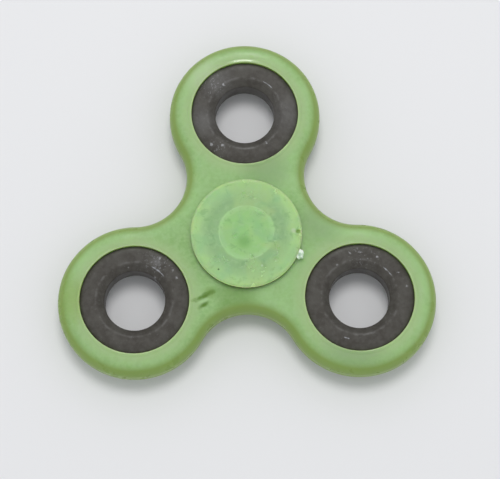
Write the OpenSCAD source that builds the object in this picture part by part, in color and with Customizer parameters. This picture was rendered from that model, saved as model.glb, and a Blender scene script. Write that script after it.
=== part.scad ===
// Three-lobed hand spinner: a moulded translucent body, three pressed-in weight rings,
// an open ball bearing at the hub and two finger caps pressed into the bearing's bore.
// The origin is the bearing's centre, +Z is the spin axis and one lobe points to +Y.

/* [Weight rings] */
// Outer diameter of a weight ring
weight_d = 22; // [18:0.1:27]
// Diameter of the hole through a weight ring
weight_hole_d = 12.2; // [10:0.1:15]
// How far each ring face lies below the body face
weight_recess = 0.2; // [0.1:0.05:0.6]
// Width of the countersink at each end of the ring's hole
weight_chamfer_w = 1.45; // [0.8:0.05:1.8]
// Depth of that countersink
weight_chamfer_h = 1.2; // [0.6:0.05:1.6]
// Rounding of the ring's outer edges
weight_round = 0.9; // [0.3:0.05:1.2]

/* [Body] */
// Thickness of the body
body_t = 7; // [5.8:0.1:9]
// Wall between a weight pocket and the outside of its lobe
lobe_wall = 4.6; // [3.8:0.1:6]
// Web between the bearing seat and a weight pocket
web = 4.1; // [3.4:0.1:6]
// Rounding of the body's outer edges
edge_round = 3; // [1:0.1:3.4]
// Least flat left on the rim between the two roundings
rim_land = 0.3; // [0.2:0.05:0.8]
// Width of the raised lip around each pocket
lip_w = 0.8; // [0.5:0.05:1.2]
// Height of that lip
lip_h = 0.15; // [0.1:0.05:0.4]

/* [Bearing] */
// Outer diameter of the bearing
bearing_d = 22; // [18:0.1:27]
// Bore of the bearing
bearing_bore = 8; // [6.6:0.1:9.6]
// Width of the bearing
bearing_w = 7; // [6:0.1:9]
// Diameter of a ball
ball_d = 3.969; // [3.3:0.001:4.8]
// Angle of the first ball from +X
ball_phase = 14; // [0:1:51]
// Rounding of the race corners, cut as a chamfer
race_chamfer = 0.3; // [0.1:0.05:0.5]
// Clearance between a ball and its groove
ball_clear = 0.015; // [0.01:0.005:0.05]
// Distance from the pitch circle to each race's shoulder
shoulder = 1.47; // [1.4:0.01:1.6]

/* [Cage] */
// Thickness of the cage's sheet metal
cage_t = 0.35; // [0.25:0.05:0.4]
// Radial width of the cage's band
cage_w = 1.7; // [1.2:0.05:2]
// Clearance between a ball and its cage pocket
pocket_clear = 0.1; // [0.06:0.01:0.15]
// Height of a rivet's head above the cage
rivet_head_h = 0.25; // [0.15:0.05:0.35]
// Radius of a rivet's head, as a share of the flat left between two ball pockets
rivet_head_share = 0.32; // [0.25:0.01:0.4]
// Radius of a rivet's shank, as a share of its head's radius
rivet_shank_share = 0.6; // [0.4:0.05:0.7]

/* [Caps] */
// How far the cap's rim reaches past the bearing
cap_overlap = 0.2; // [0.1:0.1:2]
// Thickness of the cap's plate
cap_t = 1.5; // [1.2:0.05:2.5]
// Gap between the cap's plate and the body
cap_gap = 0.6; // [0.4:0.05:1.2]
// Rounding of the cap's outer edge
cap_round = 0.5; // [0.2:0.05:0.8]
// Radial width of the shoulder that sits on the inner race
cap_seat_w = 1.5; // [1:0.05:1.8]
// Gap between the ends of the two stems inside the bore
stem_gap = 0.6; // [0.2:0.1:1.2]
// Wall of the hollow stem
stem_wall = 1.3; // [1:0.05:1.8]
// Lead-in chamfer at the end of a stem
stem_lead = 0.4; // [0.2:0.05:0.6]

/* [Hidden] */
LOBES = 3;            // the outline's three-fold symmetry
BALLS = 7;            // balls in a bearing of this series
BALL_STEP = 360 / BALLS;
LOBE_NAMES = ["top", "left", "right"];
LOBE_ANGLES = [90, 210, 330];
ball_names = [for (i = [1:BALLS]) str("ball_", i)];
rivet_names = [for (i = [1:BALLS]) str("cage_rivet_", i)];
ring_names = [for (n = LOBE_NAMES) str("weight_ring_", n)];

$fn = 96;
OVER = 1;             // how far a cutter runs past the face it cuts
CROSSING = 0.01;      // how far a waist's arc cuts into the lobe arcs that it runs into

weight_r = weight_d / 2;
weight_hole_r = weight_hole_d / 2;
weight_t = body_t - 2 * weight_recess;
bearing_r = bearing_d / 2;
bore_r = bearing_bore / 2;
ball_r = ball_d / 2;

lobe_r = weight_r + lobe_wall;
orbit = bearing_r + web + weight_r;
waist_r = orbit - lobe_r;
body_round = min(edge_round, body_t / 2 - rim_land);

pitch_r = (bearing_r + bore_r) / 2;
groove_r = ball_r + ball_clear;
inner_land_r = pitch_r - shoulder;
outer_land_r = pitch_r + shoulder;

shell_in = ball_r + pocket_clear;
shell_out = shell_in + cage_t;
ball_gap = 2 * pitch_r * sin(BALL_STEP / 2) - 2 * shell_out;
rivet_head_r = rivet_head_share * ball_gap;
rivet_r = rivet_shank_share * rivet_head_r;

cap_r = bearing_r + cap_overlap;
cap_under = max(body_t, bearing_w) / 2 + cap_gap;
cap_face = cap_under + cap_t;
seat_z = bearing_w / 2;
seat_r = bore_r + cap_seat_w;
stem_end = stem_gap / 2;
core_r = bore_r - stem_wall;

GREEN = [0.58, 0.76, 0.47];
PALE_GREEN = [0.62, 0.79, 0.52];
BLACK = [0.16, 0.16, 0.15];
STEEL = [0.75, 0.76, 0.77];
CAGE_STEEL = [0.66, 0.66, 0.64];

// The place of a lobe's centre
module at_lobe(a) translate([orbit * cos(a), orbit * sin(a), 0]) children();

// Half profile of a disc of radius r and half height h whose rim is rounded by e
module rounded_disc_profile(r, h, e)
    difference() {
        translate([0, -h]) square([r, 2 * h]);
        for (m = [0, 1]) mirror([0, m]) difference() {
            translate([r - e, h - e]) square([e + OVER, e + OVER]);
            translate([r - e, h - e]) circle(r = e);
        }
    }

// Half profile of the cutter for a waist, which leaves the same rounding on the body
module waist_profile(r, h, e)
    difference() {
        translate([0, -h - OVER]) square([r + e, 2 * (h + OVER)]);
        for (m = [0, 1]) mirror([0, m]) translate([r + e, h - e]) circle(r = e);
        translate([r, e - h]) square([e + OVER, 2 * (h - e)]);
    }

// The prism between the lobes and the hub, with a rounded waist between each two lobes
module body_core()
    difference() {
        linear_extrude(height = body_t, center = true)
            polygon([for (k = [0:2 * LOBES - 1])
                orbit * [cos(LOBE_ANGLES[0] + 180 / LOBES * k),
                         sin(LOBE_ANGLES[0] + 180 / LOBES * k)]]);
        for (a = LOBE_ANGLES) at_lobe(a + 180)
            rotate_extrude() waist_profile(waist_r + CROSSING, body_t / 2, body_round);
    }

// A lobe: a disc with a rounded rim, centred on the prism's corner
module lobe(a)
    at_lobe(a) rotate_extrude() rounded_disc_profile(lobe_r, body_t / 2, body_round);

// The raised lip around a pocket, from within the wall to just above both faces
module pocket_lip()
    cylinder(r = weight_r + lip_w, h = body_t + 2 * lip_h, center = true);

module body()
    color(GREEN) difference() {
        union() {
            body_core();
            for (a = LOBE_ANGLES) lobe(a);
            for (a = LOBE_ANGLES) at_lobe(a) pocket_lip();
        }
        for (a = LOBE_ANGLES) at_lobe(a)
            cylinder(r = weight_r, h = body_t + 2 * OVER, center = true);
        cylinder(r = bearing_r, h = body_t + 2 * OVER, center = true);
    }

module weight_ring(a)
    color(BLACK) at_lobe(a) difference() {
        rotate_extrude() rounded_disc_profile(weight_r, weight_t / 2, weight_round);
        cylinder(r = weight_hole_r, h = weight_t + 2 * OVER, center = true);
        for (m = [0, 1]) mirror([0, 0, m])
            translate([0, 0, weight_t / 2 - weight_chamfer_h])
                cylinder(r1 = weight_hole_r, r2 = weight_hole_r + weight_chamfer_w,
                         h = weight_chamfer_h);
    }

// The ball groove in both races
module groove()
    rotate_extrude() translate([pitch_r, 0]) circle(r = groove_r);

// A plain ring with chamfered corners, from its half profile's corner points
module chamfered_ring(r_in, r_out, h, c)
    rotate_extrude() polygon([
        [r_in + c, -h / 2], [r_out - c, -h / 2], [r_out, c - h / 2], [r_out, h / 2 - c],
        [r_out - c, h / 2], [r_in + c, h / 2], [r_in, h / 2 - c], [r_in, c - h / 2]]);

module bearing_outer_race()
    color(STEEL) difference() {
        chamfered_ring(outer_land_r, bearing_r, bearing_w, race_chamfer);
        groove();
    }

module bearing_inner_race()
    color(STEEL) difference() {
        chamfered_ring(bore_r, inner_land_r, bearing_w, race_chamfer);
        groove();
    }

// The place of ball i, or of the rivet after it with half = 1
module at_ball(i, half = 0)
    rotate([0, 0, ball_phase + BALL_STEP * (i - 1 + half / 2)])
        translate([pitch_r, 0, 0]) children();

module ball(i)
    color(STEEL) at_ball(i) sphere(r = ball_r);

// One pressed half of the cage: a flat band with a domed pocket over each ball
module cage_half()
    difference() {
        intersection() {
            union() {
                cylinder(r = bearing_r, h = cage_t);
                for (i = [1:BALLS]) at_ball(i) sphere(r = shell_out);
            }
            difference() {
                cylinder(r = pitch_r + cage_w / 2, h = bearing_w);
                translate([0, 0, -OVER])
                    cylinder(r = pitch_r - cage_w / 2, h = bearing_w + 2 * OVER);
            }
        }
        for (i = [1:BALLS]) at_ball(i) sphere(r = shell_in);
        for (i = [1:BALLS]) at_ball(i, 1)
            cylinder(r = rivet_r, h = 2 * bearing_w, center = true);
    }

module cage_upper() color(CAGE_STEEL) cage_half();
module cage_lower() color(CAGE_STEEL) mirror([0, 0, 1]) cage_half();

module cage_rivet(i)
    color(CAGE_STEEL) at_ball(i, 1) {
        cylinder(r = rivet_r, h = 2 * cage_t, center = true);
        for (m = [0, 1]) mirror([0, 0, m])
            translate([0, 0, cage_t]) cylinder(r = rivet_head_r, h = rivet_head_h);
    }

// A finger cap: plate, shoulder on the inner race and hollow stem in the bearing's bore
module cap()
    color(PALE_GREEN) difference() {
        union() {
            translate([0, 0, (cap_under + cap_face) / 2])
                rotate_extrude() rounded_disc_profile(cap_r, cap_t / 2, cap_round);
            translate([0, 0, seat_z])
                cylinder(r = seat_r, h = cap_under - seat_z + cap_t / 2);
            translate([0, 0, stem_end + stem_lead])
                cylinder(r = bore_r, h = cap_under - stem_end - stem_lead);
            translate([0, 0, stem_end])
                cylinder(r1 = bore_r - stem_lead, r2 = bore_r, h = stem_lead);
        }
        translate([0, 0, -OVER]) cylinder(r = core_r, h = cap_under + OVER);
    }

module cap_top() cap();
module cap_bottom() mirror([0, 0, 1]) cap();

body();
for (k = [0:LOBES - 1])
    weight_ring(LOBE_ANGLES[k]);
bearing_outer_race();
bearing_inner_race();
cage_upper();
cage_lower();
for (i = [1:BALLS])
    ball(i);
for (i = [1:BALLS])
    cage_rivet(i);
cap_top();
cap_bottom();
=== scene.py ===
"""Looks of the three-lobed hand spinner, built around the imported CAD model.

Lengths are in metres and directions in degrees, anticlockwise from +X as seen from above. Places and
radii come from the CAD nodes' boxes; the sizes that a box can't give (roundings, lips, chamfers) are named
below in millimetres times MM. "top", "left" and "right" name the lobes as seen from above, with +Y up.
"""
import math

import bmesh
import bpy
from mathutils import Matrix, Vector, noise
from mathutils.geometry import delaunay_2d_cdt


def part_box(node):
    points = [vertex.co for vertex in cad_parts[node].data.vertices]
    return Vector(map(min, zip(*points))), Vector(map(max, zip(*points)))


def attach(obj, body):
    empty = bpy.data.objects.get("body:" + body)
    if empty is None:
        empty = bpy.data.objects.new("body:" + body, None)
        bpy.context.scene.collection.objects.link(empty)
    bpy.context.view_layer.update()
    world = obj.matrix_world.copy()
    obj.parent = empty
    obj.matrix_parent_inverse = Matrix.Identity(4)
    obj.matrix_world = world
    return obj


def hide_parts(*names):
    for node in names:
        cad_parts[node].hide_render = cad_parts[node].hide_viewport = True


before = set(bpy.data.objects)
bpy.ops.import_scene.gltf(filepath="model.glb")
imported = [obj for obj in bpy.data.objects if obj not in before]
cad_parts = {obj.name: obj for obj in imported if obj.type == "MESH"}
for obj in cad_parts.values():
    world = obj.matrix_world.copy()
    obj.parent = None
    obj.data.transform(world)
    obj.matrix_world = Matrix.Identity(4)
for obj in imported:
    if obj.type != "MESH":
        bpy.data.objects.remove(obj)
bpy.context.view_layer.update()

MM = 0.001

# ---------------------------------------------------------------- sizes from the frame

body_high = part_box("body")[1]
ring_low, ring_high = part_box("weight_ring_top")
cap_low, cap_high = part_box("cap_top")
race_low, race_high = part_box("bearing_outer_race")
inner_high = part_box("bearing_inner_race")[1]
floor_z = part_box("cap_bottom")[0].z

LOBES = {"top": 90, "left": 210, "right": 330}
LOBE_HALF_TURN = 120      # degrees of outline on each side of a lobe's own direction
WAIST_TURN = 120          # degrees of outline in a waist
WAIST_START = -60         # where a waist's arc begins, in degrees from the direction of the lobe before it

LIP_H = 0.15 * MM
LIP_W = 0.8 * MM
EDGE_DROP = 3.0 * MM        # height of the body's rounded edge
EDGE_RUN = 3.6 * MM         # its width on the face; a little flatter than a circle where it leaves the face
EDGE_FULLNESS = 2.15        # 2 would be an ellipse; more is a fuller edge
EDGE_STEPS = 18
ORBIT = (ring_low.y + ring_high.y) / 2
WEIGHT_R = (ring_high.x - ring_low.x) / 2
LOBE_R = body_high.y - ORBIT
WAIST_R = ORBIT - LOBE_R
FACE_Z = body_high.z - LIP_H
BEARING_R = (race_high.x - race_low.x) / 2

WEIGHT_HOLE_R = 6.1 * MM
WEIGHT_CHAMFER = (1.45 * MM, 1.2 * MM)     # width on the face, depth in the hole
WEIGHT_EDGE = (1.9 * MM, 0.62 * MM)        # width and depth of the outer rounding
WEIGHT_EDGE_STEPS = 10
HOLE_FILLET = 0.5 * MM                     # where the chamfer meets the hole
FACE_FILLET = 1.2 * MM                     # where it meets the face
CAST_UNEVENNESS = 0.012 * MM
RING_Z = ring_high.z

CAP_R = (cap_high.x - cap_low.x) / 2
CAP_TOP = cap_high.z
CAP_T = 1.75 * MM
CAP_BEVEL = (0.45 * MM, 0.28 * MM)         # width on the top face, drop at the rim
SEAT_R = 5.5 * MM
SEAT_Z = inner_high.z
STEM_R = 4.0 * MM
STEM_END = cap_low.z
STEM_LEAD = 0.4 * MM
CORE_R = 2.7 * MM

PARTING_STEP = 0.05 * MM    # how far the parting line stands above the land beside it
PARTING_HALF = 0.07 * MM    # half its width
PARTING_SLOPE = 0.10 * MM   # height of the slope from the line to the land

HUB_CHAMFER = 0.15 * MM     # broken edge of the body around the bearing

EJECTOR_ORBIT = 14.0 * MM   # distance of the mould's ejector marks from the middle
EJECTOR_R = 1.0 * MM
EJECTOR_DEPTH = 0.05 * MM
EJECTOR_SLOPE = 0.06 * MM
EJECTOR_STEPS = 48

FACE_SPACING = 0.8 * MM     # between the points that a face is built on
FLAW_SPACING = 0.22 * MM    # the same around a moulding flaw
FLAW_REACH = 3 * MM         # how far around a flaw the closer points go
CIRCLE_STEPS = 216


# ---------------------------------------------------------------- mesh helpers

def new_object(name, bm, material, sharp_deg=32):
    """A shown mesh object from bm, smooth apart from edges sharper than sharp_deg."""
    bmesh.ops.remove_doubles(bm, verts=bm.verts, dist=1e-7)
    bmesh.ops.recalc_face_normals(bm, faces=bm.faces)
    limit = math.radians(sharp_deg)
    for face in bm.faces:
        face.smooth = True
    for edge in bm.edges:
        edge.smooth = len(edge.link_faces) == 2 and edge.calc_face_angle(0) < limit
    mesh = bpy.data.meshes.new(name)
    bm.to_mesh(mesh)
    bm.free()
    obj = bpy.data.objects.new(name, mesh)
    bpy.context.scene.collection.objects.link(obj)
    mesh.materials.append(material)
    weighted = obj.modifiers.new("weighted", "WEIGHTED_NORMAL")
    weighted.keep_sharp = True
    weighted.weight = 80
    return obj


def add_loop(bm, points):
    """A vertex for each point, in order."""
    return [bm.verts.new(p) for p in points]


def bridge(bm, one, other):
    """Quads between two closed loops with the same number of vertices."""
    count = len(one)
    for i in range(count):
        j = (i + 1) % count
        bm.faces.new((one[i], one[j], other[j], other[i]))


def fan(bm, loop, centre):
    """Triangles from a closed loop to one point."""
    hub = bm.verts.new(centre)
    for i, vert in enumerate(loop):
        bm.faces.new((vert, loop[(i + 1) % len(loop)], hub))


def circle(cx, cy, r, z, steps=CIRCLE_STEPS):
    turn = 2 * math.pi / steps
    return [(cx + r * math.cos(turn * i), cy + r * math.sin(turn * i), z) for i in range(steps)]


def filleted(corners, steps=7):
    """The points of a closed profile whose corners (r, z, fillet radius) are rounded by arcs."""
    points = []
    count = len(corners)
    for i, (x, z, radius) in enumerate(corners):
        here = Vector((x, z))
        if radius <= 0:
            points.append((x, z))
            continue
        before = (Vector(corners[i - 1][:2]) - here).normalized()
        after = (Vector(corners[(i + 1) % count][:2]) - here).normalized()
        half = before.angle(after) / 2
        centre = here + (before + after).normalized() * radius / math.sin(half)
        start = here + before * radius / math.tan(half) - centre
        end = here + after * radius / math.tan(half) - centre
        swing = start.angle_signed(end)
        for k in range(steps + 1):
            arm = start.copy()
            arm.rotate(Matrix.Rotation(-swing * k / steps, 2))
            points.append(tuple(centre + arm))
    return points


def subdivided(profile, longest):
    """The closed profile with more points on its long straight stretches."""
    out = []
    for i, a in enumerate(profile):
        b = profile[(i + 1) % len(profile)]
        out.append(a)
        pieces = int(math.dist(a, b) / longest)
        on_axis = a[0] < 1e-9 and b[0] < 1e-9
        if not on_axis:
            out += [tuple(Vector(a).lerp(Vector(b), k / pieces)) for k in range(1, pieces)]
    return out


def lathe(bm, profile, cx=0.0, cy=0.0, steps=CIRCLE_STEPS):
    """Turns a closed profile of (r, z) points about the vertical line through (cx, cy)."""
    rings = []
    for r, z in profile:
        rings.append(None if r < 1e-9 else add_loop(bm, circle(cx, cy, r, z, steps)))
    for i, ring in enumerate(rings):
        j = (i + 1) % len(rings)
        if ring and rings[j]:
            bridge(bm, ring, rings[j])
        elif ring:
            fan(bm, ring, (cx, cy, profile[j][1]))
        elif rings[j]:
            fan(bm, rings[j], (cx, cy, profile[i][1]))


# ---------------------------------------------------------------- the body's outline

def polar(radius, degrees):
    """The point at a distance and direction from the middle, seen from above."""
    a = math.radians(degrees)
    return Vector((radius * math.cos(a), radius * math.sin(a)))


LOBE_CENTRES = [polar(ORBIT, a) for a in LOBES.values()]
WAIST_CENTRES = [polar(ORBIT, a + 60) for a in LOBES.values()]


def outline(inset, z, lobe_steps=150, waist_steps=56):
    """The closed outline moved inwards by inset, as points at height z."""
    points = []
    for a, lobe, waist in zip(LOBES.values(), LOBE_CENTRES, WAIST_CENTRES):
        for i in range(lobe_steps):
            turn = a - LOBE_HALF_TURN + 2 * LOBE_HALF_TURN * i / lobe_steps
            points.append((*(lobe + polar(LOBE_R - inset, turn)), z))
        for i in range(waist_steps):
            turn = a + WAIST_START - WAIST_TURN * i / waist_steps
            points.append((*(waist + polar(WAIST_R + inset, turn)), z))
    return points


def inside_hexagon(p):
    """Whether p is inside the hexagon whose corners are the middles of the lobes and waists."""
    to_side = ORBIT * math.cos(math.radians(30))
    return all(p.dot(polar(1, 120 + 60 * k)) < to_side for k in range(6))


def depth(p):
    """How far p lies inside the outline, and below 0 outside it."""
    in_lobe = max(LOBE_R - (p - c).length for c in LOBE_CENTRES)
    if not inside_hexagon(p):
        return in_lobe
    return max(in_lobe, min((p - c).length - WAIST_R for c in WAIST_CENTRES))


# Shallow moulding flaws of the top face: middle, direction in degrees, half length, half width, depth
TOP_DENTS = [
    (Vector((-8.6, -12.6)) * MM, 25, 2.05 * MM, 0.50 * MM, 0.11 * MM),
    (Vector((-8.65, -14.4)) * MM, 32, 1.15 * MM, 0.40 * MM, 0.09 * MM),
]


def dent(p, dents):
    """How deep the flaws are at p."""
    total = 0.0
    for middle, degrees, half_length, half_width, deep in dents:
        d = p - middle
        along = d.dot(polar(1, degrees)) / half_length
        across = d.dot(polar(1, degrees + 90)) / half_width
        total += deep * math.exp(-along ** 2 - across ** 2)
    return total


WAVE_HEIGHT = 0.035 * MM
WAVE_LENGTH = 9 * MM
WAVE_FADE = 1.5 * MM        # how far from an edge of the face the wave is whole


def face_height(p, side, dents):
    """The moulded face is flat to a few hundredths, with a slow wave that dies out at its edges."""
    near = min(depth(p) - EDGE_RUN, min((p - c).length for c in LOBE_CENTRES) - WEIGHT_R - LIP_W)
    fade = min(1.0, max(0.0, near / WAVE_FADE))
    wave = noise.noise(Vector((p.x, p.y, side * WAVE_LENGTH)) / WAVE_LENGTH)
    return side * (FACE_Z + WAVE_HEIGHT * fade * wave - dent(p, dents))


def clear_of_edges(p, gap, keep_from):
    """Whether p is on the face's flat, at least gap away from its rim and from every (centre, radius)."""
    return depth(p) >= EDGE_RUN + gap and all((p - c).length >= r + gap for c, r in keep_from)


def face_grid(keep_from, dents):
    """Points inside a face, on a triangular grid, away from its edges, and closer around the flaws."""
    reach = ORBIT + LOBE_R
    row = FACE_SPACING * math.sin(math.radians(60))
    gap = 0.55 * FACE_SPACING
    flaws = [d[0] for d in dents]
    points = []
    for j in range(-int(reach / row), int(reach / row) + 1):
        for i in range(-int(reach / FACE_SPACING), int(reach / FACE_SPACING) + 1):
            p = Vector(((i + 0.5 * (j % 2)) * FACE_SPACING, j * row))
            if clear_of_edges(p, gap, keep_from) and all((p - f).length >= FLAW_REACH for f in flaws):
                points.append(p)
    steps = int(FLAW_REACH / FLAW_SPACING)
    for k, flaw in enumerate(flaws):
        for j in range(-steps, steps + 1):
            for i in range(-steps, steps + 1):
                p = flaw + Vector((i + 0.5 * (j % 2), j)) * FLAW_SPACING
                if (p - flaw).length > FLAW_REACH or any((p - f).length < FLAW_REACH for f in flaws[:k]):
                    continue
                if clear_of_edges(p, FLAW_SPACING, keep_from):
                    points.append(p)
    return points


def fill_face(bm, side, rim, holes, dents):
    """A face of small triangles between the rim's loop and the loops around the holes.

    holes is a list of (centre, radius, loop).
    """
    boundary = list(rim)
    edges = [(i, (i + 1) % len(rim)) for i in range(len(rim))]
    for _, _, loop in holes:
        start = len(boundary)
        boundary += loop
        edges += [(start + i, start + (i + 1) % len(loop)) for i in range(len(loop))]
    flat = [Vector(v.co.xy) for v in boundary]
    inner = face_grid([(c, r) for c, r, _ in holes], dents)
    # the triangulation works in millimetres, where its tolerance is small beside the spacing
    found = delaunay_2d_cdt([p / MM for p in flat + inner], edges, [], 1, 1e-6)
    coords, faces, sources = found[0], found[2], found[3]
    made = []
    for k, origin in enumerate(sources):
        on_edge = [i for i in origin if i < len(boundary)]
        if on_edge:
            made.append(boundary[on_edge[0]])
        else:
            p = Vector(coords[k]) * MM
            made.append(bm.verts.new((p.x, p.y, face_height(p, side, dents))))
    for tri in faces:
        middle = sum((Vector(coords[i]) for i in tri), Vector((0, 0))) / len(tri) * MM
        in_hole = any((middle - c).length < r * 0.9999 for c, r, _ in holes)
        if not in_hole and depth(middle) > EDGE_RUN * 0.999:
            bm.faces.new([made[i] for i in tri])


def rim_profile():
    """(inset, z) of the body's edge from the top face round to the bottom face."""
    power = 2 / EDGE_FULLNESS
    curve = []
    for k in range(EDGE_STEPS):
        a = math.radians(90 * k / EDGE_STEPS)
        inset = EDGE_RUN * (1 - math.sin(a) ** power)
        curve.append((inset, FACE_Z - EDGE_DROP * (1 - math.cos(a) ** power)))
    foot_z = FACE_Z - EDGE_DROP
    foot = (0.2 * PARTING_STEP, foot_z + 0.02 * MM)
    land = [(PARTING_STEP, foot_z - PARTING_SLOPE), (PARTING_STEP, PARTING_HALF + PARTING_SLOPE)]
    upper = curve + [foot, *land, (0, PARTING_HALF)]
    return upper + [(inset, -z) for inset, z in reversed(upper)]


def ejector_marks(side):
    """Middles of the round marks that the mould's ejector pins leave on the underside."""
    if side > 0:
        return []
    return [polar(EJECTOR_ORBIT, a + 30) for a in LOBES.values()]


# The pocket's lip from its foot on the face, over its crest and down into the pocket,
# as shares of the lip's width and height
LIP_PROFILE = [(1, 0), (0.82, 0.07), (0.64, 0.26), (0.48, 0.48), (0.34, 0.62), (0.22, 0.66), (0.12, 0.60),
               (0.04, 0.35), (0, -0.1), (0, -2.5)]


def build_body(material):
    """The moulded body: rounded edge, two faces with their lips and marks, and the walls of four holes."""
    bm = bmesh.new()
    loops = [add_loop(bm, outline(inset, z)) for inset, z in rim_profile()]
    for one, other in zip(loops, loops[1:]):
        bridge(bm, one, other)
    walls = {}
    for side, rim, dents in ((1, loops[0], TOP_DENTS), (-1, loops[-1], [])):
        holes = []
        for c in LOBE_CENTRES:
            # the lip rises from the face, rounds over and turns down into the pocket
            rings = [add_loop(bm, circle(c.x, c.y, WEIGHT_R + out * LIP_W, side * (FACE_Z + up * LIP_H)))
                     for out, up in LIP_PROFILE]
            for one, other in zip(rings, rings[1:]):
                bridge(bm, one, other)
            holes.append((c, WEIGHT_R + LIP_W, rings[0]))
            walls.setdefault(tuple(c), []).append(rings[-1])
        seat = [add_loop(bm, circle(0, 0, r, side * z)) for r, z in
                ((BEARING_R + HUB_CHAMFER, FACE_Z), (BEARING_R, FACE_Z - HUB_CHAMFER))]
        bridge(bm, *seat)
        holes.append((Vector((0, 0)), BEARING_R + HUB_CHAMFER, seat[0]))
        walls.setdefault((0, 0), []).append(seat[1])
        for c in ejector_marks(side):
            sunk = side * (FACE_Z - EJECTOR_DEPTH)
            outer = add_loop(bm, circle(c.x, c.y, EJECTOR_R, side * FACE_Z, EJECTOR_STEPS))
            inner = add_loop(bm, circle(c.x, c.y, EJECTOR_R - EJECTOR_SLOPE, sunk, EJECTOR_STEPS))
            bridge(bm, outer, inner)
            fan(bm, inner, (c.x, c.y, sunk))
            holes.append((c, EJECTOR_R, outer))
        fill_face(bm, side, rim, holes, dents)
    for top, bottom in walls.values():
        bridge(bm, top, bottom)
    return new_object("spinner_body", bm, material)


def build_weight(name, centre, material):
    """A cast ring: rounded outer edges, countersunk hole, all corners broken."""
    wide, deep = WEIGHT_CHAMFER
    run, drop = WEIGHT_EDGE
    half = [(WEIGHT_HOLE_R, RING_Z - deep, HOLE_FILLET), (WEIGHT_HOLE_R + wide, RING_Z, FACE_FILLET)]
    for k in range(WEIGHT_EDGE_STEPS + 1):
        a = math.radians(90 * k / WEIGHT_EDGE_STEPS)
        half.append((WEIGHT_R - run * (1 - math.sin(a)), RING_Z - drop * (1 - math.cos(a)), 0))
    corners = half + [(r, -z, f) for r, z, f in reversed(half)]
    bm = bmesh.new()
    lathe(bm, subdivided(filleted(corners), 0.5 * MM), centre.x, centre.y)
    for vert in bm.verts:
        shift = noise.noise(vert.co / (2.2 * MM)) + 0.5 * noise.noise(vert.co / (0.9 * MM))
        out = Vector((vert.co.x - centre.x, vert.co.y - centre.y, 0))
        if out.length < WEIGHT_R - 0.3 * MM:
            vert.co.z -= math.copysign(CAST_UNEVENNESS * (1 + shift), vert.co.z)
    return new_object(name, bm, material)


# Flaws of the cap's top: middle, direction in degrees, half length, half width, depth
CAP_DENTS = [(Vector((10.45, 0.12)) * MM, 12, 0.55 * MM, 0.30 * MM, 0.30 * MM)]


def build_cap(name, side, material):
    """Plate with a rounded rim, shoulder on the inner race, and hollow stem in the bearing's bore."""
    under = CAP_TOP - CAP_T
    run, drop = CAP_BEVEL
    corners = [(0, CAP_TOP, 0), (CAP_R - run, CAP_TOP, 0.4 * MM), (CAP_R, CAP_TOP - drop, 0.15 * MM),
               (CAP_R, under, 0.75 * MM),
               (SEAT_R, under, 0.12 * MM), (SEAT_R, SEAT_Z, 0.1 * MM),
               (STEM_R, SEAT_Z, 0), (STEM_R, STEM_END + STEM_LEAD, 0.1 * MM),
               (STEM_R - STEM_LEAD, STEM_END, 0.1 * MM), (CORE_R, STEM_END, 0.15 * MM),
               (CORE_R, under, 0.4 * MM), (0, under, 0)]
    bm = bmesh.new()
    lathe(bm, subdivided(filleted(corners), 0.3 * MM), steps=288)
    for vert in bm.verts:
        on_top = vert.co.z > under + 0.6 * CAP_T
        if on_top and side > 0:
            vert.co.z -= dent(vert.co.xy, CAP_DENTS)
        if side < 0:
            vert.co.z = -vert.co.z
    return new_object(name, bm, material)


BURR_R = 0.90 * MM
BURR_SPOT = polar(CAP_R + 0.45 * MM, -22.7)
BURR_Z = CAP_TOP - 0.80 * MM


def build_burr(material):
    """A crumb of torn plastic on the edge of the top cap."""
    bm = bmesh.new()
    bmesh.ops.create_icosphere(bm, subdivisions=5, radius=BURR_R)
    for vert in bm.verts:
        lumps = 1 + 0.45 * noise.noise(vert.co / (0.50 * MM)) + 0.06 * noise.noise(vert.co / (0.16 * MM))
        vert.co = Vector((0.85 * vert.co.x, vert.co.y, 0.62 * vert.co.z)) * lumps
    bmesh.ops.translate(bm, verts=bm.verts, vec=(*BURR_SPOT, BURR_Z))
    return new_object("cap_burr", bm, material, 60)


# ---------------------------------------------------------------- materials

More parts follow.
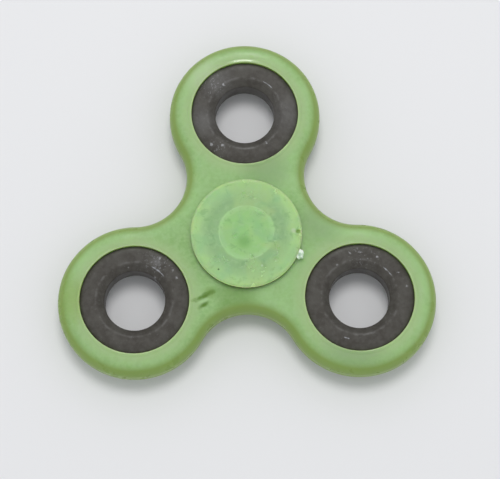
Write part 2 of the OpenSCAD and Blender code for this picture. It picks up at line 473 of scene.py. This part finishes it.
class Nodes:
    """Short calls for building one material's nodes."""

    def __init__(self, name):
        self.material = bpy.data.materials.new(name)
        self.material.use_nodes = True
        self.tree = self.material.node_tree
        self.shader = self.tree.nodes["Principled BSDF"]
        self.coords = self.tree.nodes.new("ShaderNodeTexCoord").outputs["Object"]

    def link(self, a, b):
        self.tree.links.new(a, b)

    def set(self, **values):
        """Numbers on the shader's own sockets; an underscore stands for a space in a socket's name."""
        for socket, value in values.items():
            self.shader.inputs[socket.replace("_", " ")].default_value = value

    def noise(self, scale, detail=2.0, rough=0.5, distortion=0.0):
        n = self.tree.nodes.new("ShaderNodeTexNoise")
        n.inputs["Scale"].default_value = scale
        n.inputs["Detail"].default_value = detail
        n.inputs["Roughness"].default_value = rough
        n.inputs["Distortion"].default_value = distortion
        self.link(self.coords, n.inputs["Vector"])
        return n.outputs["Fac"]

    def cells(self, scale):
        """Distance to the middle of the nearest cell of an uneven pattern, in cells."""
        n = self.tree.nodes.new("ShaderNodeTexVoronoi")
        n.inputs["Scale"].default_value = scale
        self.link(self.coords, n.inputs["Vector"])
        return n.outputs["Distance"]

    def range(self, value, low, high, to_low=0.0, to_high=1.0):
        """A smooth step from to_low, where value is low, to to_high, where it is high."""
        n = self.tree.nodes.new("ShaderNodeMapRange")
        n.interpolation_type = "SMOOTHSTEP"
        for socket, v in (("From Min", low), ("From Max", high), ("To Min", to_low), ("To Max", to_high)):
            n.inputs[socket].default_value = v
        self.link(value, n.inputs["Value"])
        return n.outputs["Result"]

    def math(self, operation, a, b=None):
        n = self.tree.nodes.new("ShaderNodeMath")
        n.operation = operation
        for socket, v in zip(n.inputs, (a, b)):
            if isinstance(v, (int, float)):
                socket.default_value = v
            elif v is not None:
                self.link(v, socket)
        return n.outputs[0]

    def mix(self, factor, a, b):
        """Colour a where factor is 0 and colour b where it is 1."""
        n = self.tree.nodes.new("ShaderNodeMix")
        n.data_type = "RGBA"
        for socket, v in ((n.inputs[0], factor), (n.inputs[6], a), (n.inputs[7], b)):
            if isinstance(v, (int, float)):
                socket.default_value = v
            elif isinstance(v, tuple):
                socket.default_value = (*v, 1)
            else:
                self.link(v, socket)
        return n.outputs[2]

    def bump(self, height, distance):
        """Fine relief of the surface, distance deep where height goes from 0 to 1."""
        n = self.tree.nodes.new("ShaderNodeBump")
        n.inputs["Distance"].default_value = distance
        self.link(height, n.inputs["Height"])
        self.link(n.outputs["Normal"], self.shader.inputs["Normal"])

    def distance(self, x, y):
        """Distance from the vertical line through (x, y)."""
        flat = self.tree.nodes.new("ShaderNodeVectorMath")
        flat.operation = "MULTIPLY"
        flat.inputs[1].default_value = (1, 1, 0)
        self.link(self.coords, flat.inputs[0])
        n = self.tree.nodes.new("ShaderNodeVectorMath")
        n.operation = "DISTANCE"
        n.inputs[1].default_value = (x, y, 0)
        self.link(flat.outputs[0], n.inputs[0])
        return n.outputs["Value"]

    def stroke(self, middle, degrees, half_length, half_width):
        """1 along a short line on the face, fading to 0 at its edge."""
        moved = self.tree.nodes.new("ShaderNodeVectorMath")
        moved.operation = "SUBTRACT"
        moved.inputs[1].default_value = (middle.x, middle.y, 0)
        self.link(self.coords, moved.inputs[0])
        turned = self.tree.nodes.new("ShaderNodeVectorRotate")
        turned.rotation_type = "Z_AXIS"
        turned.inputs["Angle"].default_value = -math.radians(degrees)
        self.link(moved.outputs[0], turned.inputs["Vector"])
        scaled = self.tree.nodes.new("ShaderNodeVectorMath")
        scaled.operation = "MULTIPLY"
        scaled.inputs[1].default_value = (1 / half_length, 1 / half_width, 0)
        self.link(turned.outputs[0], scaled.inputs[0])
        length = self.tree.nodes.new("ShaderNodeVectorMath")
        length.operation = "LENGTH"
        self.link(scaled.outputs[0], length.inputs[0])
        wander = self.range(self.noise(700, 3), 0.3, 0.7, -0.3, 0.3)
        ragged = self.math("ADD", length.outputs["Value"], wander)
        return self.math("MULTIPLY", self.range(ragged, 0.1, 1.25, 1.0, 0.0), self.above())

    def height(self):
        """Height above the middle plane, in metres."""
        split = self.tree.nodes.new("ShaderNodeSeparateXYZ")
        self.link(self.coords, split.inputs[0])
        return split.outputs["Z"]

    def above(self):
        """1 on the upper half of the object and 0 on the lower half."""
        return self.math("GREATER_THAN", self.height(), 0.0)

    def mix_value(self, factor, a, b):
        """Number a where factor is 0 and number b where it is 1."""
        n = self.tree.nodes.new("ShaderNodeMix")
        for socket, v in ((n.inputs[0], factor), (n.inputs[2], a), (n.inputs[3], b)):
            if isinstance(v, (int, float)):
                socket.default_value = v
            else:
                self.link(v, socket)
        return n.outputs[0]

    def ramp(self, value, stops):
        """Colours by value; stops are (mm, display colour) pairs in rising order."""
        last = stops[-1][0]
        n = self.tree.nodes.new("ShaderNodeValToRGB")
        self.link(self.math("DIVIDE", value, last * MM), n.inputs["Fac"])
        while len(n.color_ramp.elements) < len(stops):
            n.color_ramp.elements.new(1.0)
        for element, (at, colour) in zip(n.color_ramp.elements, stops):
            element.position = at / last
            element.color = (*srgb(*colour), 1)
        return n.outputs["Color"]

    def facing_up(self):
        """1 on the flat faces, falling to 0 on the walls."""
        geometry = self.tree.nodes.new("ShaderNodeNewGeometry")
        split = self.tree.nodes.new("ShaderNodeSeparateXYZ")
        self.link(geometry.outputs["Normal"], split.inputs[0])
        return self.math("ABSOLUTE", split.outputs["Z"])


def srgb(r, g, b):
    """A colour given as 0-255 display values, as the shader's linear numbers."""
    return tuple(c / 12.92 if c <= 0.04045 else ((c + 0.055) / 1.055) ** 2.4
                 for c in (r / 255, g / 255, b / 255))


# Soft patches of another tone on the body: place in mm, how far they reach in mm, display colour
# The deep green one at (-2.0, -12.8) is painted shade along the lower waist.
BODY_PATCHES = [
    (4, 14, 7, (139, 165, 122)), (15, 3, 7, (139, 165, 122)), (21, -24, 9, (139, 165, 122)),
    (-2.0, -12.8, 6, (118, 152, 84)), (-7.5, -11.8, 1.7, (120, 152, 72)),
    (-9.5, 35.5, 6, (186, 206, 168)), (-35.5, -13, 7, (146, 172, 98)),
]

# How far light of each colour spreads in the green plastic, as shares of the subsurface scale
GREEN_SPREAD = (0.7, 1.0, 0.5)


def body_plastic():
    """Milky translucent green plastic: cloudy on the flats, with painted shade, a deeper green, where the
    edge curves away, and painted light beside the rings.
    """
    n = Nodes("body_plastic")
    cloud = n.range(n.noise(75, 3, 0.55), 0.35, 0.68)
    colour = n.mix(cloud, srgb(147, 182, 122), srgb(159, 194, 137))
    mottle = n.range(n.noise(1100, 3, 0.6), 0.35, 0.65, 0.0, 0.5)
    colour = n.mix(mottle, colour, srgb(168, 200, 146))
    rings = [n.distance(c.x, c.y) for c in LOBE_CENTRES]
    nearest = n.math("MINIMUM", n.math("MINIMUM", rings[0], rings[1]), rings[2])
    # painted light: the face is lighter beside the rings and fades towards the edge
    beside_ring = n.range(nearest, 11.6 * MM, 14.2 * MM, 0.8, 0.0)
    colour = n.mix(beside_ring, colour, srgb(168, 193, 142))
    # patches of another tone, one of them painted shade
    for x, y, reach, shade in BODY_PATCHES:
        patch = n.range(n.distance(x * MM, y * MM), 0.2 * reach * MM, reach * MM, 0.55, 0.0)
        colour = n.mix(patch, colour, srgb(*shade))
    # painted shade: dark green along the two dents
    for middle, degrees, half_length, half_width, _ in TOP_DENTS:
        mark = n.math("MULTIPLY", n.stroke(middle, degrees, 1.25 * half_length, 1.3 * half_width), 0.95)
        colour = n.mix(mark, colour, srgb(100, 138, 54))
    # a paler streak between the two dents
    pale_streak = n.math("MULTIPLY", n.stroke(Vector((-8.75, -13.5)) * MM, 24, 1.5 * MM, 0.42 * MM), 0.7)
    colour = n.mix(pale_streak, colour, srgb(174, 204, 154))
    # painted shade: deeper olive green where the rounded edge tilts away from the light
    edge = n.range(n.facing_up(), 0.76, 1.0, 0.95, 0.0)
    colour = n.mix(edge, colour, srgb(134, 158, 86))
    n.link(colour, n.shader.inputs["Base Color"])
    on_lip = n.range(nearest, WEIGHT_R + 0.6 * LIP_W, WEIGHT_R + 1.2 * LIP_W, 1.0, 0.0)
    satin = n.range(n.noise(260, 3), 0.3, 0.7, 0.26, 0.36)
    n.link(n.mix_value(on_lip, satin, 0.12), n.shader.inputs["Roughness"])
    n.set(Subsurface_Weight=1.0, Subsurface_Radius=GREEN_SPREAD, Subsurface_Scale=2.5 * MM,
          IOR=1.45, Specular_IOR_Level=0.25)
    n.bump(n.noise(900, 3), 0.006 * MM)
    return n.material


# The cap's plastic by distance from the axis in mm: over the stem, the shoulder, the bearing and the rim
# These rings of colour are painted light and shade of the stem, shoulder and bearing showing through the
# plate.
CAP_BANDS = [(0.0, (178, 228, 154)), (4.4, (183, 229, 158)), (5.0, (192, 235, 170)), (5.4, (194, 237, 172)),
             (5.8, (175, 212, 158)), (7.3, (169, 206, 156)), (8.7, (184, 221, 164)), (9.6, (197, 233, 170)),
             (11.2, (200, 234, 162))]

# Small spots on the top cap: distance from the axis in mm, direction in degrees, radius in mm, colour.
# They are a dark speck, a pale speck, a painted highlight beside the notch in the rim, and painted shade in
# the notch.
CAP_SPOTS = [(9.49, -126.7, 0.28, (70, 98, 62)), (7.57, -66.3, 0.32, (222, 238, 214)),
             (9.5, 1.4, 0.75, (214, 232, 196)), (10.42, 0.2, 0.70, (130, 172, 70))]


def cap_plastic():
    """The same plastic in a thin plate, clear enough to show the bearing as a pale shape."""
    n = Nodes("cap_plastic")
    from_axis = n.distance(0, 0)
    wander = n.range(n.noise(190, 4, 0.6, 0.5), 0.3, 0.7, -0.25 * MM, 0.25 * MM)
    colour = n.ramp(n.math("ADD", from_axis, wander), CAP_BANDS)
    cool = n.range(n.noise(170, 2), 0.46, 0.62, 0.0, 0.5)
    colour = n.mix(cool, colour, srgb(164, 212, 164))
    warm = n.range(n.noise(140, 2, 0.5, 0.6), 0.48, 0.64, 0.0, 0.5)
    colour = n.mix(warm, colour, srgb(204, 230, 160))
    streak = n.range(n.noise(260, 3, 0.5, 0.4), 0.42, 0.62)
    colour = n.mix(n.math("MULTIPLY", streak, 0.30), colour, srgb(186, 224, 166))
    fine = n.range(n.noise(900, 3, 0.6, 0.8), 0.50, 0.66)
    colour = n.mix(n.math("MULTIPLY", fine, 0.35), colour, srgb(192, 228, 176))
    fleck = n.range(n.noise(640, 3, 0.6, 0.5), 0.54, 0.70)
    colour = n.mix(n.math("MULTIPLY", fleck, 0.30), colour, srgb(130, 176, 118))
    # a deeper green patch just below the axis
    greener_middle = n.range(n.distance(-0.5 * MM, -1.9 * MM), 0.3 * MM, 2.2 * MM, 0.45, 0.0)
    colour = n.mix(greener_middle, colour, srgb(122, 178, 92))
    # specks, and painted highlight and shade at the notch
    for r, degrees, size, shade in CAP_SPOTS:
        spot = polar(r * MM, degrees)
        dot = n.range(n.distance(spot.x, spot.y), 0.3 * size * MM, size * MM, 0.8, 0.0)
        colour = n.mix(n.math("MULTIPLY", dot, n.above()), colour, srgb(*shade))
    off_line = n.math("ABSOLUTE", n.math("SUBTRACT", from_axis, SEAT_R))
    faint = n.range(n.noise(230, 2), 0.40, 0.60, 0.0, 0.7)
    line = n.math("MULTIPLY", n.range(off_line, 0.0, 0.20 * MM, 1.0, 0.0), faint)
    colour = n.mix(line, colour, srgb(212, 244, 190))
    # painted light: the rim's outer wall is lighter, glowing with light through the plate; it also lets
    # less through
    outer_wall = n.math("MULTIPLY", n.range(n.facing_up(), 0.10, 0.50, 1.0, 0.0),
                        n.range(from_axis, 10.3 * MM, 10.8 * MM))
    colour = n.mix(outer_wall, colour, srgb(220, 255, 172))
    n.link(colour, n.shader.inputs["Base Color"])
    satin = n.range(n.noise(300, 3), 0.3, 0.7, 0.20, 0.28)
    under = n.range(n.height(), CAP_TOP - CAP_T, CAP_TOP - 0.5 * CAP_T, 1.0, 0.0)
    n.link(n.mix_value(n.math("MULTIPLY", under, n.above()), satin, 0.30), n.shader.inputs["Roughness"])
    clear = n.range(outer_wall, 0.0, 1.0, 0.30, 0.05)
    n.link(clear, n.shader.inputs["Transmission Weight"])
    n.set(Subsurface_Weight=1.0, Subsurface_Radius=GREEN_SPREAD, Subsurface_Scale=1.6 * MM,
          IOR=1.45, Specular_IOR_Level=0.2)
    return n.material


def burr_plastic():
    """Torn plastic: the cap's green gone nearly white with stress."""
    n = Nodes("burr_plastic")
    colour = n.mix(n.range(n.noise(900, 3), 0.4, 0.6), srgb(196, 222, 190), srgb(234, 244, 234))
    spot = polar(CAP_R + 0.40 * MM, -23.6)
    # the crumb is greyer green in its middle
    hollow = n.range(n.distance(spot.x, spot.y), 0.15 * MM, 0.55 * MM, 0.8, 0.0)
    colour = n.mix(hollow, colour, srgb(156, 186, 160))
    n.link(colour, n.shader.inputs["Base Color"])
    n.set(Roughness=0.35, Subsurface_Weight=0.6, Subsurface_Radius=(0.5, 0.6, 0.5),
          Subsurface_Scale=0.4 * MM)
    return n.material


# Pale marks on the rings: ring, distance from its centre in mm, direction in degrees, radius in mm,
# strength
# Most are small pale specks; the three wide ones on the top ring are painted reflection that lightens its
# face.
RING_MARKS = [
    ("top", 7.68, 124, 0.34, 0.75), ("top", 8.31, -125, 0.26, 0.6), ("top", 9.67, -136, 0.26, 0.5),
    ("top", 7.76, -55, 0.28, 0.6), ("top", 8.9, 130, 4.5, 0.10), ("top", 8.9, -170, 4.5, 0.10),
    ("top", 8.9, 0, 6.0, 0.08),
    ("left", 9.57, 85, 0.30, 0.4), ("left", 9.82, 58, 0.30, 0.45), ("left", 9.74, 37, 0.34, 0.5),
    ("left", 9.55, 27, 0.28, 0.45), ("left", 8.9, 60, 1.5, 0.14), ("left", 5.95, 48, 0.42, 0.4),
    ("right", 9.28, 101, 0.26, 0.5), ("right", 9.12, 88, 0.34, 0.6), ("right", 9.03, 66, 0.28, 0.55),
    ("right", 9.34, 32, 0.32, 0.6), ("right", 7.95, 122, 0.30, 0.5), ("right", 9.75, 13, 0.26, 0.45),
]

# Patches of fine dust on the rings: ring, direction in degrees, reach in mm
RING_DUST = [("top", 138, 4.4), ("left", 58, 4.6), ("right", 84, 4.4), ("top", -125, 3.0)]

# Fine pale arcs on the rings: ring, distance from its centre in mm, and the directions they run between
# The first three, on the hole's chamfer towards the upper right, are painted highlights; the last is a fine
# scratch.
RING_HIGHLIGHTS_AND_SCRATCH = [("top", 7.87, 42, 61), ("left", 7.55, 38, 64), ("right", 7.8, 33, 52),
                  ("right", 8.83, -113, -105)]


WORN_AND_LIT_CORNER_R = 7.75 * MM   # where the hole's chamfer rounds over into the face; its pale line is coating wear and a painted highlight


def weight_paint():
    """Black coating on a cast ring: satin, faintly dusty, with a few pale specks, a fine scratch and wear
    on the chamfer's corner; painted highlights on the chamfer and its corner, and painted reflection
    lightening the top ring.
    """
    n = Nodes("weight_black")
    patch = n.range(n.noise(330, 4, 0.6), 0.35, 0.7)
    colour = n.mix(patch, srgb(64, 61, 56), srgb(76, 74, 69))
    mottle = n.range(n.noise(1000, 3, 0.6), 0.42, 0.62, 0.0, 0.35)
    colour = n.mix(mottle, colour, srgb(86, 84, 80))
    grain = n.range(n.noise(1900, 3, 0.7), 0.60, 0.78)
    colour = n.mix(n.math("MULTIPLY", grain, 0.22), colour, srgb(140, 141, 143))
    specks = n.range(n.cells(420), 0.04, 0.11, 0.7, 0.0)
    chosen = n.range(n.noise(210, 2), 0.62, 0.70)
    colour = n.mix(n.math("MULTIPLY", specks, chosen), colour, srgb(185, 186, 188))
    dust = n.range(n.noise(2300, 2, 0.6), 0.57, 0.70)
    for ring, degrees, reach in RING_DUST:
        spot = polar(ORBIT, LOBES[ring]) + polar(9.0 * MM, degrees)
        dusty = n.range(n.distance(spot.x, spot.y), 0.25 * reach * MM, reach * MM, 0.32, 0)
        dusty = n.math("MULTIPLY", n.math("MULTIPLY", dusty, dust), n.above())
        colour = n.mix(dusty, colour, srgb(170, 172, 176))
    ragged = n.range(n.noise(1700, 2), 0.3, 0.7, -0.22 * MM, 0.22 * MM)
    # pale specks, and painted reflection on the top ring
    for ring, r, degrees, size, strength in RING_MARKS:
        spot = polar(ORBIT, LOBES[ring]) + polar(r * MM, degrees)
        away = n.math("ADD", n.distance(spot.x, spot.y), ragged)
        on_top = n.math("MULTIPLY", n.range(away, 0, 1.1 * size * MM, 0.85 * strength, 0), n.above())
        colour = n.mix(on_top, colour, srgb(190, 192, 196))
    # coating wear and a painted highlight along the chamfer's rounded corner
    corner_wear_and_highlight = n.range(n.noise(500, 3, 0.6), 0.42, 0.68, 0.0, 0.22)
    for centre in LOBE_CENTRES:
        off_corner = n.math("ABSOLUTE", n.math("SUBTRACT", n.distance(centre.x, centre.y), WORN_AND_LIT_CORNER_R))
        corner = n.math("MULTIPLY", n.range(off_corner, 0.0, 0.38 * MM, 1.0, 0.0), corner_wear_and_highlight)
        colour = n.mix(corner, colour, srgb(138, 138, 138))
    # painted highlights on the chamfers, and one scratch
    for ring, r, start, end in RING_HIGHLIGHTS_AND_SCRATCH:
        centre = polar(ORBIT, LOBES[ring])
        off_line = n.math("ABSOLUTE", n.math("SUBTRACT", n.distance(centre.x, centre.y), r * MM))
        line = n.range(n.math("ADD", off_line, n.math("MULTIPLY", ragged, 0.3)), 0, 0.17 * MM, 0.6, 0)
        middle = centre + polar(r * MM, (start + end) / 2)
        reach = r * MM * math.radians(end - start) / 2
        near = n.range(n.distance(middle.x, middle.y), 0.6 * reach, 1.1 * reach, 1, 0)
        line = n.math("MULTIPLY", n.math("MULTIPLY", line, near), n.above())
        colour = n.mix(line, colour, srgb(176, 180, 186))
    n.link(colour, n.shader.inputs["Base Color"])
    n.link(n.range(n.noise(420, 4), 0.3, 0.7, 0.42, 0.52), n.shader.inputs["Roughness"])
    n.set(Specular_IOR_Level=0.3)
    n.bump(n.noise(1300, 4, 0.6), 0.02 * MM)
    return n.material


def steel(name, shade, rough, grain_scale):
    """Bare steel of a display grey and a roughness, with a fine uneven grain."""
    n = Nodes(name)
    grain = n.noise(grain_scale, 4, 0.6)
    colour = n.mix(n.range(grain, 0.3, 0.7), srgb(shade - 14, shade - 14, shade - 12),
                   srgb(shade, shade, shade))
    n.link(colour, n.shader.inputs["Base Color"])
    n.link(n.range(grain, 0.3, 0.7, rough - 0.06, rough + 0.06), n.shader.inputs["Roughness"])
    n.set(Metallic=1.0)
    n.bump(grain, 0.003 * MM)
    return n.material


def plain_floor():
    """Matt, nearly white."""
    n = Nodes("floor")
    n.set(Base_Color=FLOOR_COLOUR, Roughness=0.7)
    return n.material


# ---------------------------------------------------------------- camera, light and floor

def aim(obj, location, target, roll=0.0):
    """Turns obj at location to look at target; roll in degrees turns it about its line of sight."""
    look = (target - location).to_track_quat("-Z", "Y").to_matrix().to_4x4()
    obj.matrix_world = Matrix.Translation(location) @ look @ Matrix.Rotation(math.radians(roll), 4, "Z")


CAMERA_LENS = 114.31                                # mm
CAMERA_PLACE = Vector((-2.4, -81.6, 314.2)) * MM
CAMERA_TARGET = Vector((0.756, -0.08, 0)) * MM
CAMERA_ROLL = 1.4965                                # degrees

FLOOR_HALF = 1.5
FLOOR_COLOUR = (0.80, 0.805, 0.82, 1)
SKY_COLOUR = (0.97, 0.98, 1.0, 1)
SKY_STRENGTH = 0.68

KEY_PLACE = (0.0, 0.13, 0.58)
KEY_SIZE = 0.22
KEY_POWER = 1.30
KEY_COLOUR = (1.0, 0.99, 0.97)

GLINT_PLACE = (0.0, 0.445, 0.44)
GLINT_SIZE = 0.11
GLINT_POWER = 0.9
GLINT_COLOUR = (1.0, 1.0, 1.0)


def build_camera():
    """A long lens, nearly straight above the face and a little in front of it."""
    camera = bpy.data.objects.new("camera", bpy.data.cameras.new("camera"))
    bpy.context.scene.collection.objects.link(camera)
    camera.data.lens = CAMERA_LENS
    camera.data.clip_start = 0.01
    aim(camera, CAMERA_PLACE, CAMERA_TARGET, CAMERA_ROLL)
    bpy.context.scene.camera = camera


def area_light(name, location, size, power, colour):
    """A round area light that points at the middle of the object."""
    data = bpy.data.lights.new(name, "AREA")
    data.shape = "DISK"
    data.size = size
    data.energy = power
    data.color = colour
    light = bpy.data.objects.new(name, data)
    bpy.context.scene.collection.objects.link(light)
    aim(light, Vector(location), Vector((0, 0, 0)))
    return light


def build_studio():
    """Plain floor under the object, an even sky, and two lights."""
    bm = bmesh.new()
    bmesh.ops.create_grid(bm, x_segments=1, y_segments=1, size=FLOOR_HALF)
    bmesh.ops.translate(bm, verts=bm.verts, vec=(0, 0, floor_z))
    floor = new_object("floor", bm, plain_floor())
    world = bpy.data.worlds.new("studio")
    world.use_nodes = True
    background = world.node_tree.nodes["Background"]
    background.inputs["Color"].default_value = SKY_COLOUR
    background.inputs["Strength"].default_value = SKY_STRENGTH
    bpy.context.scene.world = world
    key = area_light("key", KEY_PLACE, KEY_SIZE, KEY_POWER, KEY_COLOUR)
    key.visible_transmission = False    # keeps stray bright dots out of the see-through caps
    key.visible_glossy = False          # its highlights come from the smaller glint light, further back
    glint = area_light("glint", GLINT_PLACE, GLINT_SIZE, GLINT_POWER, GLINT_COLOUR)
    glint.visible_diffuse = False
    glint.visible_transmission = False
    bpy.context.scene.view_settings.view_transform = "Standard"


# ---------------------------------------------------------------- the pieces

build_camera()
build_studio()

green = body_plastic()
body = build_body(green)
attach(body, "rotor")
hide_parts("body")

black = weight_paint()
for lobe_name, lobe_centre in zip(LOBES, LOBE_CENTRES):
    ring = build_weight("weight_" + lobe_name, lobe_centre, black)
    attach(ring, "rotor")
    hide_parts("weight_ring_" + lobe_name)

clear_green = cap_plastic()
for cap_name, side in (("top", 1), ("bottom", -1)):
    cap = build_cap("finger_cap_" + cap_name, side, clear_green)
    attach(cap, "hub")
    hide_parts("cap_" + cap_name)

burr = build_burr(burr_plastic())
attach(burr, "hub")

race_steel = steel("race_steel", 205, 0.28, 700)
ball_steel = steel("ball_steel", 200, 0.08, 900)
cage_steel = steel("cage_steel", 205, 0.45, 500)
for node_name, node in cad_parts.items():
    finish = None
    if node_name.startswith("bearing_"):
        finish = race_steel
    elif node_name.startswith("ball_"):
        finish = ball_steel
    elif node_name.startswith("cage_"):
        finish = cage_steel
    if finish:
        for slot in node.material_slots:
            slot.material = finish
